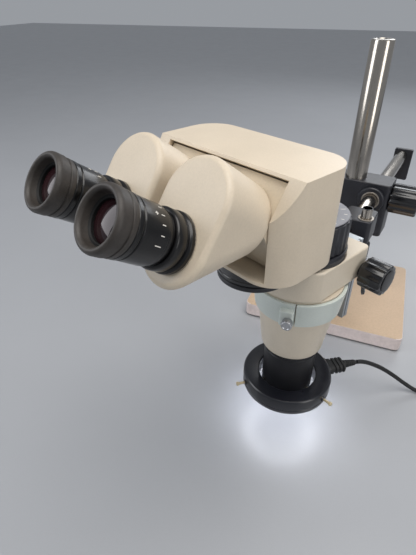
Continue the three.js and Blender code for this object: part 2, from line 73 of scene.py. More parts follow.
UP = Vector((0, 0, 1))
SCOPE_X = on_joint("focus_turn")[1]
OPTICAL = on_joint("pod_turn")[0]
SCOPE = place_at((OPTICAL.x, OPTICAL.y, 0), SCOPE_X, UP)
STAND = place_at((0, 0, 0), (1, 0, 0), UP)
POLE_FOOT = on_joint("stand_swing")[0]
POLE = place_at((POLE_FOOT.x, POLE_FOOT.y, 0), (1, 0, 0), UP)
ROLL_POINT, ROD_AXIS = on_joint("boom_roll")
BOOM = place_at(ROLL_POINT + 90 * MM * ROD_AXIS, ROD_AXIS.cross(UP), UP)
SIDES = {"right": 1, "left": -1}
EYE = {}
for side_name in SIDES:
    pivot, eye_axis = on_joint("eye_spacing_" + side_name)
    EYE[side_name] = place_at(pivot, SCOPE_X, eye_axis)


def along(place, origin, direction, across=None):
    """A place whose +Z runs along a direction of another place, from a point of it."""
    z_axis = Vector(direction).normalized()
    if across is None:
        across = Vector((0, 0, 1)) if abs(z_axis.z) < 0.9 else Vector((1, 0, 0))
    x_axis = (Vector(across) - z_axis * Vector(across).dot(z_axis)).normalized()
    turn = Matrix((x_axis, z_axis.cross(x_axis), z_axis)).transposed().to_4x4()
    return place @ Matrix.Translation(Vector(origin)) @ turn


# ---------------------------------------------------------------- materials


def linear(hex_colour):
    """A hex colour as linear red, green, blue and alpha."""
    parts = [int(hex_colour[k:k + 2], 16) / 255 for k in (0, 2, 4)]
    return [c / 12.92 if c <= 0.04045 else ((c + 0.055) / 1.055) ** 2.4 for c in parts] + [1.0]


def scaled(colour, factor):
    return [min(1.0, c * factor) for c in colour[:3]] + [1.0]


def surface(name, hex_colour, rough, metal=0.0, blotch=0.05, blotch_scale=30, grain=0.1, grain_scale=1800,
            rough_spread=0.06, coat=0.0, stretch=(1, 1, 1)):
    """A material with uneven colour, uneven gloss and a fine surface grain."""
    material = bpy.data.materials.new(name)
    material.use_nodes = True
    nodes = material.node_tree.nodes
    links = material.node_tree.links
    shader = nodes["Principled BSDF"]
    shader.inputs["Metallic"].default_value = metal
    shader.inputs["Coat Weight"].default_value = coat
    shader.inputs["Coat Roughness"].default_value = 0.12
    coords = nodes.new("ShaderNodeTexCoord")
    mapping = nodes.new("ShaderNodeMapping")
    mapping.inputs["Scale"].default_value = stretch
    links.new(coords.outputs["Object"], mapping.inputs["Vector"])

    def noise(scale, detail):
        node = nodes.new("ShaderNodeTexNoise")
        node.inputs["Scale"].default_value = scale
        node.inputs["Detail"].default_value = detail
        links.new(mapping.outputs["Vector"], node.inputs["Vector"])
        return node.outputs["Fac"]

    ramp = nodes.new("ShaderNodeValToRGB")
    colour = linear(hex_colour)
    ramp.color_ramp.elements[0].position = 0.3
    ramp.color_ramp.elements[0].color = scaled(colour, 1 - blotch)
    ramp.color_ramp.elements[1].position = 0.7
    ramp.color_ramp.elements[1].color = scaled(colour, 1 + blotch)
    links.new(noise(blotch_scale, 6), ramp.inputs["Fac"])
    speckle = nodes.new("ShaderNodeMix")
    speckle.data_type = "RGBA"
    speckle.blend_type = "MULTIPLY"
    speckle.inputs[0].default_value = 1.0
    fine = nodes.new("ShaderNodeMapRange")
    fine.inputs["From Min"].default_value = 0.35
    fine.inputs["From Max"].default_value = 0.6
    fine.inputs["To Min"].default_value = 1 - 1.2 * blotch
    fine.inputs["To Max"].default_value = 1.0
    links.new(noise(grain_scale * 0.5, 3), fine.inputs["Value"])
    links.new(ramp.outputs["Color"], speckle.inputs[6])
    links.new(fine.outputs["Result"], speckle.inputs[7])
    links.new(speckle.outputs[2], shader.inputs["Base Color"])
    gloss = nodes.new("ShaderNodeMapRange")
    gloss.inputs["To Min"].default_value = max(0.02, rough - rough_spread)
    gloss.inputs["To Max"].default_value = rough + rough_spread
    links.new(noise(blotch_scale * 3, 4), gloss.inputs["Value"])
    links.new(gloss.outputs["Result"], shader.inputs["Roughness"])
    bump = nodes.new("ShaderNodeBump")
    bump.inputs["Strength"].default_value = grain
    bump.inputs["Distance"].default_value = 0.1 * MM
    links.new(noise(grain_scale, 2), bump.inputs["Height"])
    links.new(bump.outputs["Normal"], shader.inputs["Normal"])
    return material


def glowing(name, hex_colour, strength):
    """A lit diffuser that glows in its colour at the given strength."""
    material = surface(name, hex_colour, 0.5, blotch=0.02)
    shader = material.node_tree.nodes["Principled BSDF"]
    shader.inputs["Emission Color"].default_value = linear(hex_colour)
    shader.inputs["Emission Strength"].default_value = strength
    return material


def lens_with_painted_reflection(name, centre, edge):
    """Dark glass with a painted reflection: its colour shifts from the centre colour to the edge colour as the
    surface turns from view, standing in for the coating's reflection.
    """
    material = surface(name, centre, 0.06, metal=0.2, blotch=0.15, blotch_scale=60, grain=0.0,
                       rough_spread=0.01)
    nodes = material.node_tree.nodes
    links = material.node_tree.links
    # The facing ramp paints the coating's reflection into the base colour, lighter towards grazing angles.
    weight = nodes.new("ShaderNodeLayerWeight")
    weight.inputs["Blend"].default_value = 0.35
    ramp = nodes.new("ShaderNodeValToRGB")
    ramp.color_ramp.elements[0].color = linear(centre)
    ramp.color_ramp.elements[1].color = linear(edge)
    links.new(weight.outputs["Facing"], ramp.inputs["Fac"])
    links.new(ramp.outputs["Color"], nodes["Principled BSDF"].inputs["Base Color"])
    return material


LOOK = {
    "cream": surface("cream_plastic", "D4C6B1", 0.42, blotch=0.035, grain=0.22, grain_scale=1500),
    "cream_paint": surface("cream_paint", "D5C9B6", 0.36, blotch=0.03, grain=0.12, grain_scale=1200),
    "panel": surface("cream_panel", "CFC0A8", 0.45, blotch=0.05, grain=0.2, grain_scale=1500),
    "base": surface("base_paint", "BFA68B", 0.5, blotch=0.06, blotch_scale=18, grain=0.3, grain_scale=700),
    "base_edge": surface("base_edge_paint", "DDCFCB", 0.55, blotch=0.07, blotch_scale=60, grain=0.5,
                         grain_scale=500),
    "band": surface("band_paint", "CBD2CC", 0.4, blotch=0.04, grain=0.12),
    "alloy": surface("rail_alloy", "C3C8CC", 0.38, metal=0.75, blotch=0.05, grain=0.15,
                     stretch=(1, 1, 0.06)),
    "black_metal": surface("black_metal", "24252B", 0.38, blotch=0.25, blotch_scale=45, grain=0.3,
                           grain_scale=1400),
    "black_gloss": surface("black_gloss", "121215", 0.24, blotch=0.25, grain=0.05, coat=0.4),
    "anodised": surface("eyepiece_black", "100F10", 0.3, metal=0.3, blotch=0.3, grain=0.08, coat=0.2),
    "ring_black": surface("ring_light_black", "17181F", 0.3, blotch=0.2, grain=0.25, grain_scale=1600,
                          coat=0.25),
    "barrel": surface("objective_black", "1E1E22", 0.42, metal=0.35, blotch=0.2, grain=0.12),
    "rubber": surface("black_rubber", "1A1A1B", 0.62, blotch=0.2, grain=0.35, grain_scale=1100),
    "cup": surface("worn_eyecup_rubber", "38332F", 0.5, blotch=0.16, blotch_scale=110, grain=0.5,
                   grain_scale=900),
    "grey": surface("grey_paint", "85868C", 0.45, blotch=0.06, grain=0.2),
    "dark_grey": surface("dark_grey_paint", "4C4B4C", 0.4, blotch=0.1, grain=0.15),
    "chrome": surface("chrome", "B5AEA5", 0.17, metal=1.0, blotch=0.06, blotch_scale=40, grain=0.04,
                      stretch=(1, 1, 0.1)),
    "steel": surface("steel", "B9BABD", 0.3, metal=1.0, blotch=0.1, blotch_scale=120, grain=0.15),
    "brass": surface("pale_brass", "D9C9A6", 0.34, metal=0.8, blotch=0.12, blotch_scale=150, grain=0.15),
    "white": surface("white_marking", "E8E4DC", 0.5, blotch=0.04),
    "shadow": surface("dark_inside", "0A0A0B", 0.7, blotch=0.3, grain=0.1),
    # A pale metal finish for thin rings on darker parts.
    "rim": surface("pale_metal_rim", "A49C92", 0.35, metal=0.7, blotch=0.2, blotch_scale=120),
    "inner_ring": surface("inner_ring_white", "C9CCD8", 0.4, blotch=0.12, blotch_scale=90),
    "led": glowing("lit_diffuser", "F4F6FF", 9.0),
    # The lens and prism glass carry a painted reflection, lighter towards grazing angles.
    "lens": lens_with_painted_reflection("lens_with_painted_reflection", "08060A", "43262A"),
    "pcb": surface("led_board_white", "DADDD8", 0.4, blotch=0.08, blotch_scale=200, grain=0.3),
    "prism": lens_with_painted_reflection("prism_glass", "20242A", "8FA3B5"),
}

# ---------------------------------------------------------------- pieces


def finish_piece(mesh, name, node, look, bevel=0.0, segments=3, stands_for=True, sharp=35):
    """Links a mesh as a piece that rides with a CAD node's body and, when it stands for the node, hides the node.
    """
    item = bpy.data.objects.new(name, mesh)
    bpy.context.scene.collection.objects.link(item)
    mesh.materials.append(LOOK[look])
    for polygon in mesh.polygons:
        polygon.use_smooth = True
    mesh.set_sharp_from_angle(angle=math.radians(sharp))
    if bevel:
        edges = item.modifiers.new("rounded_edges", "BEVEL")
        edges.width = bevel * MM
        edges.segments = segments
        edges.limit_method = "ANGLE"
        edges.angle_limit = math.radians(sharp)
        edges.harden_normals = True
    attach(item, NODE_BODY[node])
    if stands_for:
        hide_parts(node)
    return item


def built(name, corners, faces, place):
    """A mesh from corners in a place's millimetres."""
    mesh = bpy.data.meshes.new(name)
    mesh.from_pydata([place @ Vector(corner) for corner in corners], [], faces)
    shape = bmesh.new()
    shape.from_mesh(mesh)
    bmesh.ops.remove_doubles(shape, verts=shape.verts, dist=1e-7)
    bmesh.ops.recalc_face_normals(shape, faces=shape.faces)
    shape.to_mesh(mesh)
    shape.free()
    return mesh


def turned(name, profile, place, sides=ROUND, radius_at=None):
    """A solid of revolution on +Z. The profile of (radius, height) ends on the axis or closes on itself."""
    closed = profile[0] == profile[-1]
    rows = profile[:-1] if closed else profile
    corners = []
    for index, (radius, height) in enumerate(rows):
        for k in range(sides):
            angle = FULL_TURN * k / sides
            reach = radius if radius_at is None else radius_at(index, radius, angle)
            corners.append((reach * math.cos(angle), reach * math.sin(angle), height))
    faces = []
    for row in range(len(rows) if closed else len(rows) - 1):
        upper = (row + 1) % len(rows)
        for k in range(sides):
            step = (k + 1) % sides
            faces.append((row * sides + k, row * sides + step, upper * sides + step, upper * sides + k))
    return built(name, corners, faces, place)


def rod_profile(radius, low, high):
    """A plain cylinder, from its axis out and back."""
    return [(0, low), (radius, low), (radius, high), (0, high)]


def ring_profile(inner, outer, low, high):
    """A plain ring, round to its first point."""
    return [(inner, low), (outer, low), (outer, high), (inner, high), (inner, low)]


def lathe(name, node, look, profile, place, bevel=0.35, **options):
    extra = {key: options.pop(key) for key in ("sides", "radius_at") if key in options}
    return finish_piece(turned(name, profile, place, **extra), name, node, look, bevel, **options)


def trim(name, node, look, profile, place, **options):
    """A turned detail that stands for no node of its own."""
    return lathe(name, node, look, profile, place, stands_for=False, **options)


def lofted(name, sections, place):
    """Closed outlines with the same count of points, joined one to the next and capped at both ends."""
    count = len(sections[0])
    corners = [point for section in sections for point in section]
    faces = [tuple(range(count)), tuple(range((len(sections) - 1) * count, len(sections) * count))]
    for row in range(len(sections) - 1):
        for k in range(count):
            step = (k + 1) % count
            faces.append((row * count + k, row * count + step, (row + 1) * count + step,
                          (row + 1) * count + k))
    return built(name, corners, faces, place)


def rounded_outline(left, right, front, back, radius, steps=10):
    points = []
    centres = ((right, front, -1, 1), (right, back, -1, -1), (left, back, 1, -1), (left, front, 1, 1))
    for corner, (x, y, to_x, to_y) in enumerate(centres):
        for k in range(steps + 1):
            angle = math.radians(-90 + 90 * corner + 90 * k / steps)
            points.append((x + radius * (to_x + math.cos(angle)), y + radius * (to_y + math.sin(angle))))
    return points


def raised(points, low, high):
    return [[(x, y, z) for x, y in points] for z in (low, high)]


def block(name, node, look, outline, low, high, place, bevel=1.0, **options):
    mesh = lofted(name, raised(outline, low, high), place)
    return finish_piece(mesh, name, node, look, bevel, **options)


def fluted(rows, flutes, depth, sharpness=1.0):
    """A radius rule that cuts round flutes along some rows of a turned bar's profile."""
    def rule(row, radius, angle):
        wave = 0.5 - 0.5 * math.cos(flutes * angle)
        return radius - depth * wave ** sharpness if row in rows else radius
    return rule


def knob(name, node, look, radius, low, high, place, flutes, depth, edge=1.2, sharpness=1.0, **options):
    """A closed fluted knob with rounded ends, from the axis round its outside and back."""
    profile = [(0, low), (radius - edge - depth, low), (radius - 0.3 * edge, low + 0.3 * edge),
               (radius, low + edge), (radius, high - edge), (radius - 0.3 * edge, high - 0.3 * edge),
               (radius - edge - depth, high), (0, high)]
    rule = fluted({2, 3, 4, 5}, flutes, depth, sharpness)
    return lathe(name, node, look, profile, place, bevel=0, sides=flutes * 12, radius_at=rule, sharp=50,
                 **options)


def cut(item, cutter_mesh):
    """Cuts a mesh out of a piece and applies the cut."""
    cutter = bpy.data.objects.new("cutter", cutter_mesh)
    bpy.context.scene.collection.objects.link(cutter)
    modifier = item.modifiers.new("cut", "BOOLEAN")
    modifier.object = cutter
    modifier.solver = "EXACT"
    apply_modifiers(item)
    bpy.data.objects.remove(cutter)


def apply_modifiers(item):
    evaluated = item.evaluated_get(bpy.context.evaluated_depsgraph_get())
    mesh = bpy.data.meshes.new_from_object(evaluated)
    item.modifiers.clear()
    item.data = mesh


def screw(name, node, look, place, shank, length, head, head_length, flutes=18):
    """A thumbscrew: a shank with a knurled head that has a turned face."""
    trim(name + "_shank", node, "steel" if look == "chrome" else look, rod_profile(shank, 0, length), place,
         sides=32)
    profile = [(0, length), (head - 1, length), (head, length + 0.8), (head, length + head_length - 1),
               (head - 1, length + head_length), (head - 2, length + head_length),
               (head - 2.4, length + head_length - 0.5), (0, length + head_length - 0.5)]
    rule = fluted({2, 3}, flutes, 0.35)
    return lathe(name, node, look, profile, place, sides=flutes * 8, radius_at=rule, bevel=0, sharp=50)


def stand():
    (left, front, low), (right, back, high) = frame_size("base_plate")
    outline = rounded_outline(left, right, front, back, 9)
    plate = block("base_casting", "base_plate", "base", outline, low, high, STAND, bevel=1.8)
    plate.data.materials.append(LOOK["base_edge"])
    for polygon in plate.data.polygons:
        if abs(polygon.normal.z) < 0.5:
            polygon.material_index = 1
    (pole_left, _, pole_low), (pole_right, _, top) = frame_size("pole")
    radius = (pole_right - pole_left) / 2
    profile = [(0, pole_low), (radius, pole_low), (radius, top - 2.2), (radius - 0.7, top - 0.7),
               (radius - 2.2, top), (radius - 6, top), (radius - 6.6, top - 0.6), (0, top - 0.6)]
    lathe("chrome_pole", "pole", "chrome", profile, POLE, bevel=0)
    trim("pole_foot_ring", "base_plate", "dark_grey",
         ring_profile(radius + 0.4, radius + 3.4, high + 0.1, high + 1.6), POLE)
    (_, _, collar_low), (_, _, collar_high) = frame_size("pole_collar")
    lathe("stop_collar", "pole_collar", "black_metal",
          ring_profile(radius + GAP, 26, collar_low, collar_high), POLE, bevel=1)
    middle = (collar_low + collar_high) / 2
    screw("collar_thumbscrew", "collar_screw", "steel", along(POLE, (radius + 0.7, 0, middle), (1, 0, 0)),
          3, 11, 7, 10)


def frame_size(node):
    """A CAD node's box in the stand's millimetres."""
    low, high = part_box(node)
    return [[v / MM for v in low], [v / MM for v in high]]


POLE_BORE = 16.3
ROD_RADIUS = 10.8
ROD_FRONT = 98
ROD_BACK = 234
CLAMP = {"left": -58, "right": 25, "front": -3, "back": 43, "low": -61, "high": 25}


def boom():
    outline = rounded_outline(CLAMP["left"], CLAMP["right"], CLAMP["front"], CLAMP["back"], 6)
    clamp = block("boom_clamp", "clamp_block", "black_metal", outline, CLAMP["low"], CLAMP["high"], BOOM,
                  bevel=1.8, segments=4)
    apply_modifiers(clamp)
    pole_spot = BOOM.inverted() @ Vector((POLE_FOOT.x, POLE_FOOT.y, POLE_FOOT.z))
    bore = along(BOOM, (pole_spot.x, pole_spot.y, -90), (0, 0, 1))
    cut(clamp, turned("bore", rod_profile(POLE_BORE, 0, 160), bore, sides=64))
    rod_way = along(BOOM, (0, -30, 0), (0, 1, 0))
    cut(clamp, turned("rod_way", rod_profile(ROD_RADIUS + GAP, 0, 120), rod_way, sides=64))
    split = rounded_outline(CLAMP["left"] - 5, CLAMP["left"] + 12, 17, 19, 0.5, 2)
    cut(clamp, lofted("split", raised(split, -80, 40), BOOM))
    front = along(BOOM, (0, CLAMP["front"] - 6, 0), (0, 1, 0))
    trim("rod_boss", "clamp_block", "black_metal",
         [(12, 0), (18.6, 0), (20, 1.4), (20, 5.8), (12, 5.8), (12, 0)], front, bevel=0.5)
    trim("rod_bush", "clamp_block", "rim",
         [(11.3, -0.6), (13.4, -0.6), (13.8, 0.2), (11.3, 0.2), (11.3, -0.6)], front, bevel=0.2)
    for z in (-48, -30, 8):
        trim("clamp_bolt", "clamp_block", "steel",
             [(0, 0), (4.4, 0), (4.4, 3.4), (3.6, 4.2), (2.2, 4.2), (2.2, 2.2), (0, 2.2)],
             along(BOOM, (CLAMP["left"], 9, z), (-1, 0, 0)), sides=36)
    side = along(BOOM, (CLAMP["right"] + GAP, 20, 0), (1, 0, 0))
    knob("clamp_handwheel", "clamp_knob", "black_gloss", 23, 0, 42, side, 12, 1.5, edge=3)
    trim("clamp_stem", "clamp_knob", "steel", rod_profile(5, -14, 0.5), side, sides=32)
    rod = along(BOOM, (0, -ROD_FRONT, 0), (0, 1, 0))
    length = ROD_FRONT + ROD_BACK
    lathe("boom_bar", "boom_rod", "chrome",
          [(0, 0), (ROD_RADIUS - 1, 0), (ROD_RADIUS, 1), (ROD_RADIUS, length), (0, length)], rod)
    plate_place = along(BOOM, (0, ROD_BACK + GAP, 0), (0, 1, 0), across=(1, 0, 0))
    plate = rounded_outline(-14, 19, -14, 46, 3)
    block("rod_end_plate", "boom_end_plate", "black_metal", plate, 0, 8, plate_place, bevel=1)
    trim("rod_end_bolt", "boom_end_plate", "steel", [(0, 8), (6, 8), (6, 11), (5, 12), (0, 12)],
         plate_place, sides=6)


POST = {"x": 15.4, "y": -105.9, "radius": 7.02, "bore": 7.3}


def front_clamp():
    body = block("cross_clamp", "knuckle", "black_metal", rounded_outline(-15, 26, -119, -74, 6), -19, 15,
                 BOOM, bevel=2, segments=4)
    apply_modifiers(body)
    cut(body,
        turned("post_way", rod_profile(POST["bore"], 0, 60),
               along(BOOM, (POST["x"], POST["y"], -30), (0, 0, 1)), sides=48))
    screw("cross_clamp_screw", "knuckle_screw", "chrome", along(BOOM, (-5, -109, -2), (0, -1, 0)), 3.5,
          10.5, 8, 12, 26)
    trim("cross_clamp_cap", "knuckle", "rim", ring_profile(7.6, 10.5, 14.6, 16),
         along(BOOM, (POST["x"], POST["y"], 0), (0, 0, 1)), bevel=0.3)
    finish_cad("focus_arm", "black_metal", 1.5)
    post = along(BOOM, (POST["x"], POST["y"], -37), (0, 0, 1))
    trim("column_post", "focus_arm", "chrome",
         [(0, 0), (POST["radius"], 0), (POST["radius"], 66.4), (6.4, 67), (0, 67)], post, sides=64)
    finish_cad("focus_rail", "alloy", 0.5)
    finish_cad("focus_rack", "steel", 0)


def finish_cad(node, look, bevel):
    """A CAD node that stays, with rounded edges and its real finish."""
    item = frame["nodes"][node]
    item.data.materials.clear()
    item.data.materials.append(LOOK[look])
    if bevel:
        edges = item.modifiers.new("rounded_edges", "BEVEL")
        edges.width = bevel * MM
        edges.segments = 3
        edges.limit_method = "ANGLE"
        edges.angle_limit = math.radians(30)
        edges.harden_normals = True


FOCUS = {"y": 45, "z": 216, "radius": 16.3, "lever": 41.9, "inner": 46, "outer": 70.5}
HOLDER = {"bore": 40, "radius": 47.3, "half": 41.5, "back": 53.5, "low": 207.3, "high": 241.3}


def holder_outline(radius, half, back, corner, steps=56):
    """A circle with a square back."""
    start = -math.asin(math.sqrt(max(0.0, 1 - (half / radius) ** 2)))
    points = []
    for k in range(steps + 1):
        angle = math.pi - start + (math.pi + 2 * start) * k / steps
        points.append((radius * math.cos(angle), radius * math.sin(angle)))
    for k in range(11):
        angle = math.radians(90 * k / 10)
        points.append((half - corner + corner * math.cos(angle), back - corner + corner * math.sin(angle)))
    for k in range(11):
        angle = math.radians(90 + 90 * k / 10)
        points.append((-half + corner + corner * math.cos(angle), back - corner + corner * math.sin(angle)))
    return points


def carriage():
    outline = holder_outline(HOLDER["radius"], HOLDER["half"], HOLDER["back"], 5)
    holder = finish_piece(lofted("focus_holder", raised(outline, HOLDER["low"], HOLDER["high"]), SCOPE),
                          "focus_holder", "holder", "cream_paint", bevel=2.2, segments=5)
    apply_modifiers(holder)
    bore = [(0, HOLDER["low"] - 5), (HOLDER["bore"], HOLDER["low"] - 5),
            (HOLDER["bore"], HOLDER["high"] - 1.2), (HOLDER["bore"] + 3, HOLDER["high"] + 1.8),
            (0, HOLDER["high"] + 1.8)]
    cut(holder, turned("bore", bore, SCOPE))
    slot_cut = rounded_outline(-5.6, 5.6, 38, 60, 0.3, 2)
    cut(holder, lofted("rack_slot", raised(slot_cut, 200, 250), SCOPE))
    shaft_way = along(SCOPE, (-60, FOCUS["y"], FOCUS["z"]), (1, 0, 0))
    cut(holder, turned("shaft_way", rod_profile(3.3, 0, 120), shaft_way, sides=32))
    finish_cad("focus_shaft", "steel", 0)
    finish_cad("focus_pinion", "brass", 0)
    for side, sign in SIDES.items():
        place = along(SCOPE, (sign * FOCUS["inner"], FOCUS["y"], FOCUS["z"]), (sign, 0, 0))
        length = FOCUS["outer"] - FOCUS["inner"]
        knob("focus_wheel_" + side, "focus_knob_" + side, "black_gloss", FOCUS["radius"], 0, length, place,
             14, 1.0, edge=1.6, sharpness=0.6)
        trim("focus_wheel_disc_" + side, "focus_knob_" + side, "anodised",
             [(0, length), (11, length), (11.6, length + 0.3), (11.6, length + 0.8), (9, length + 1.2),
              (0, length + 1.2)], place, bevel=0.2)
        trim("focus_wheel_collar_" + side, "holder", "rim", ring_profile(3.6, 6.4, 41.55, 41.8),
             along(SCOPE, (0, FOCUS["y"], FOCUS["z"]), (sign, 0, 0)), bevel=0)
    hub = along(SCOPE, (FOCUS["lever"], FOCUS["y"], FOCUS["z"]), (1, 0, 0))
    trim("tension_hub", "tension_lever", "black_gloss", ring_profile(3.4, 8.6, 0.1, 3.5), hub, bevel=0.4)
    lean = math.radians(20)
    bar_place = place_turned(SCOPE, (FOCUS["lever"] + 0.3, FOCUS["y"], FOCUS["z"]), lean)
    sections = []
    for down, half in ((-7, 3.4), (-18, 2.6), (-26, 2.9), (-33, 3.6), (-37, 3.2), (-38.4, 1.8)):
        sections.append([(half * math.cos(a), down, 1.5 + 1.5 * math.sin(a))
                         for a in (FULL_TURN * k / 20 for k in range(20))])
    finish_piece(lofted("tension_handle", sections, bar_place), "tension_handle", "tension_lever",
                 "black_gloss")


def place_turned(place, origin, lean):
    """A place with +Z along the place's X, whose -Y hangs down and leans back."""
    rows = Matrix(((0, 0, 1), (math.cos(lean), -math.sin(lean), 0), (math.sin(lean), math.cos(lean), 0)))
    return place @ Matrix.Translation(Vector(origin)) @ rows.to_4x4()


CONE = {"low_r": 34.4, "high_r": 45.1, "low": 118.6, "high": 207}
BAND = {"low": 176, "high": 205, "thick": 3.9}
BRIDGE = {"low": 245.4, "high": 250, "y": -73, "radius": 32.8}
ZOOM = {"radius": 39.4, "low": 250.5, "high": 280.5}


def cone_radius(z):
    share = (z - CONE["low"] - 2) / (CONE["high"] - CONE["low"] - 2)
    return CONE["low_r"] + share * (CONE["high_r"] - CONE["low_r"])


def pod():
    fillet = [(CONE["low_r"] - 4 + 4 * math.sin(math.radians(a)),
               CONE["low"] + 4 - 4 * math.cos(math.radians(a))) for a in range(0, 90, 15)]
    cone = [(26, CONE["low"])] + fillet + [(cone_radius(CONE["low"] + 4), CONE["low"] + 4),
                                           (cone_radius(175), 175), (CONE["high_r"], CONE["high"]),
                                           (39.6, CONE["high"]), (39.6, 236), (36, 236), (36, 201),
                                           (31, 127), (26, 124), (26, CONE["low"])]
    lathe("pod_body", "pod_cone", "cream_paint", cone, SCOPE, bevel=0.4, sides=128)
    lathe("pod_neck", "neck_ring", "dark_grey",
          [(28, 236.6), (39.4, 236.6), (39.4, 240.4), (38.6, 241), (38.6, 242.6), (39.4, 243.2),
           (39.4, 244.8), (28, 244.8), (28, 236.6)], SCOPE, bevel=0.2)
    barrel = [(23, 50), (28.4, 50), (29.8, 51.4), (29.8, 57), (29.2, 57.6), (29.2, 59), (29.8, 59.6),
              (29.8, 111), (29.0, 111.8), (29.0, 113.6), (29.8, 114.4), (29.8, 118.3), (25.6, 118.3),
              (25.6, 124), (23, 124), (23, 66), (22, 65), (22, 52), (23, 50)]
    lathe("objective_tube", "objective_barrel", "barrel", barrel, SCOPE, bevel=0.15)
    lathe("objective_glass", "objective_lens", "lens",
          [(0, 55.5)] + dome(22.6, 60, -4.5) + [(22.6, 65), (0, 66.8)], SCOPE, bevel=0)
    trim("zoom_cell_glass_lower", "zoom_cell_lower", "lens",
         [(0, 141.5)] + dome(22, 144, -2.5) + [(22, 148), (0, 150)], SCOPE, bevel=0)
    finish_cad("zoom_cell_lower", "black_metal", 0)
    finish_cad("zoom_cell_upper", "black_metal", 0)
    clamp_band()
    bridge()
    knob("zoom_wheel", "zoom_knob", "black_metal", ZOOM["radius"], ZOOM["low"], ZOOM["high"], SCOPE, 28, 0.8,
         edge=1.4)
    lathe("zoom_cap", "zoom_knob_cap", "grey",
          [(0, 280.7), (36.6, 280.7), (37.4, 281.3), (37.4, 281.9), (36.6, 282.5), (12, 282.5),
           (11.5, 282.2), (0, 282.2)], SCOPE, bevel=0.2)
    for k in range(13):
        angle = math.radians(-130 + 20 * k)
        tick = along(SCOPE, (0, 0, 282.52), (0, 0, 1), across=(math.cos(angle), math.sin(angle), 0))
        length = 5 if k % 3 == 0 else 3
        block("zoom_tick", "zoom_knob_cap", "white",
              rounded_outline(34.5 - length, 34.5, -0.35, 0.35, 0.1, 1), 0, 0.06, tick, bevel=0,
              stands_for=False)


def dome(radius, edge_z, rise, steps=7):
    """Points of a shallow lens surface, from near its middle to its edge."""
    return [(radius * k / steps, edge_z + rise * (1 - (k / steps) ** 2)) for k in range(1, steps + 1)]


BAND_ANGLE = -62


def clamp_band():
    low, high = BAND["low"], BAND["high"]
    ring = [(cone_radius(low) + 0.2, low), (cone_radius(low) + BAND["thick"], low),
            (cone_radius(high) + BAND["thick"], high), (cone_radius(high) + 0.2, high),
            (cone_radius(low) + 0.2, low)]
    band = lathe("retaining_band", "clamp_band", "band", ring, SCOPE, bevel=0.8, sides=128)
    apply_modifiers(band)
    split_place = along(SCOPE, (0, 0, 0), (0, 0, 1), across=direction(BAND_ANGLE))
    cut(band, lofted("split", raised(rounded_outline(38, 60, 4.6, 5.8, 0.2, 2), 150, 230), split_place))
    lug = rounded_outline(cone_radius(190) + 2.8, cone_radius(190) + 10.5, -9.5, 4.2, 2.5)
    block("band_lug", "clamp_band", "band", lug, 181, 199, split_place, bevel=1.2, stands_for=False)
    start = cone_radius(190) + 1
    spot = direction(BAND_ANGLE) * start + Vector((0, 0, 190))
    screw("band_thumbscrew", "band_screw", "steel", along(SCOPE, spot, direction(BAND_ANGLE)), 2.5, 12, 5.5,
          8, 20)


def direction(degrees):
    return Vector((math.cos(math.radians(degrees)), math.sin(math.radians(degrees)), 0))


def bridge():
    """The plate that joins the pod to the head's drum."""
    big, small, gap = 40.5, BRIDGE["radius"], -BRIDGE["y"]
    lean = math.degrees(math.asin((big - small) / gap))
    points = []
    for k in range(49):
        angle = math.radians(-lean + (180 + 2 * lean) * k / 48)
        points.append((big * math.cos(angle), big * math.sin(angle)))
    for k in range(49):
        angle = math.radians(180 + lean + (180 - 2 * lean) * k / 48)
        points.append((small * math.cos(angle), BRIDGE["y"] + small * math.sin(angle)))
    block("bridge_casting", "bridge_plate", "black_metal", points, BRIDGE["low"], BRIDGE["high"], SCOPE,
          bevel=0.8)


SEAM = 1.0
HEAD = {"half": 71.5, "front": -132, "back": -55, "low": 286.4, "high": 360.1, "wall": 4, "mouth": 59}
TOP_EDGE = (-112, 360.1)
CHIN = (-132, 330.4)
TILT = math.radians(35.27)
PIVOT = {"x": 32.3, "y": -130, "z": 327.8}


def on_panel(up):
    """A point of the front block's face, a distance up it from the pivots."""
    return (PIVOT["y"] + up * math.sin(TILT), PIVOT["z"] + up * math.cos(TILT))


def side_profile(name, points, half):
    """An outline of (depth, height) points, as wide as twice the half."""
    return lofted(name, [[(x, y, z) for y, z in points] for x in (-half, half)], SCOPE)


def head():
    drum = [(24, 250.3), (31.8, 250.3), (32.8, 251.3), (32.8, 254), (32.2, 254.6), (32.2, 256),
            (32.8, 256.6), (32.8, 286.1), (24, 286.1), (24, 250.3)]
    lathe("head_drum", "head_base_drum", "black_gloss", drum, along(SCOPE, (0, BRIDGE["y"], 0), (0, 0, 1)),
          bevel=0.3)
    half, front, back = HEAD["half"], HEAD["front"], HEAD["back"]
    outline = rounded_outline(-half, half, front, back, 24, 16)
    shell = finish_piece(lofted("head_cover", raised(outline, HEAD["low"], HEAD["high"]), SCOPE),
                         "head_cover", "head_shell", "cream", sharp=30)
    slope = [TOP_EDGE, (TOP_EDGE[0], 420), (-200, 420), (-200, CHIN[1] - 102), CHIN]
    cut(shell, side_profile("slope", slope, 100))
    round_edges(shell, 4.5, 6, 25)
    cut(shell, head_hollow(half, front, back))
    mouth = [(-150.8, 384.7), (-103.5, 351.2), (-103.5, HEAD["low"] + 2.6), (-150.8, HEAD["low"] + 2.6)]
    cut(shell, side_profile("mouth", mouth, HEAD["mouth"]))
    round_edges(shell, 0.5, 2, 40)
    panel = [on_panel(33.5), on_panel(-2.8), (-114, 290.8), (-104, 290.8), (-104, 350.5)]
    inner = finish_piece(side_profile("head_front", panel, HEAD["mouth"] - SEAM), "head_front",
                         "front_block", "panel")
    for side in SIDES:
        port = along(EYE[side], (0, 0, -60), (0, 0, 1))
        cut(inner, turned("port", rod_profile(14.8, 0, 90), port, sides=64))
    round_edges(inner, 0.8, 3, 30)


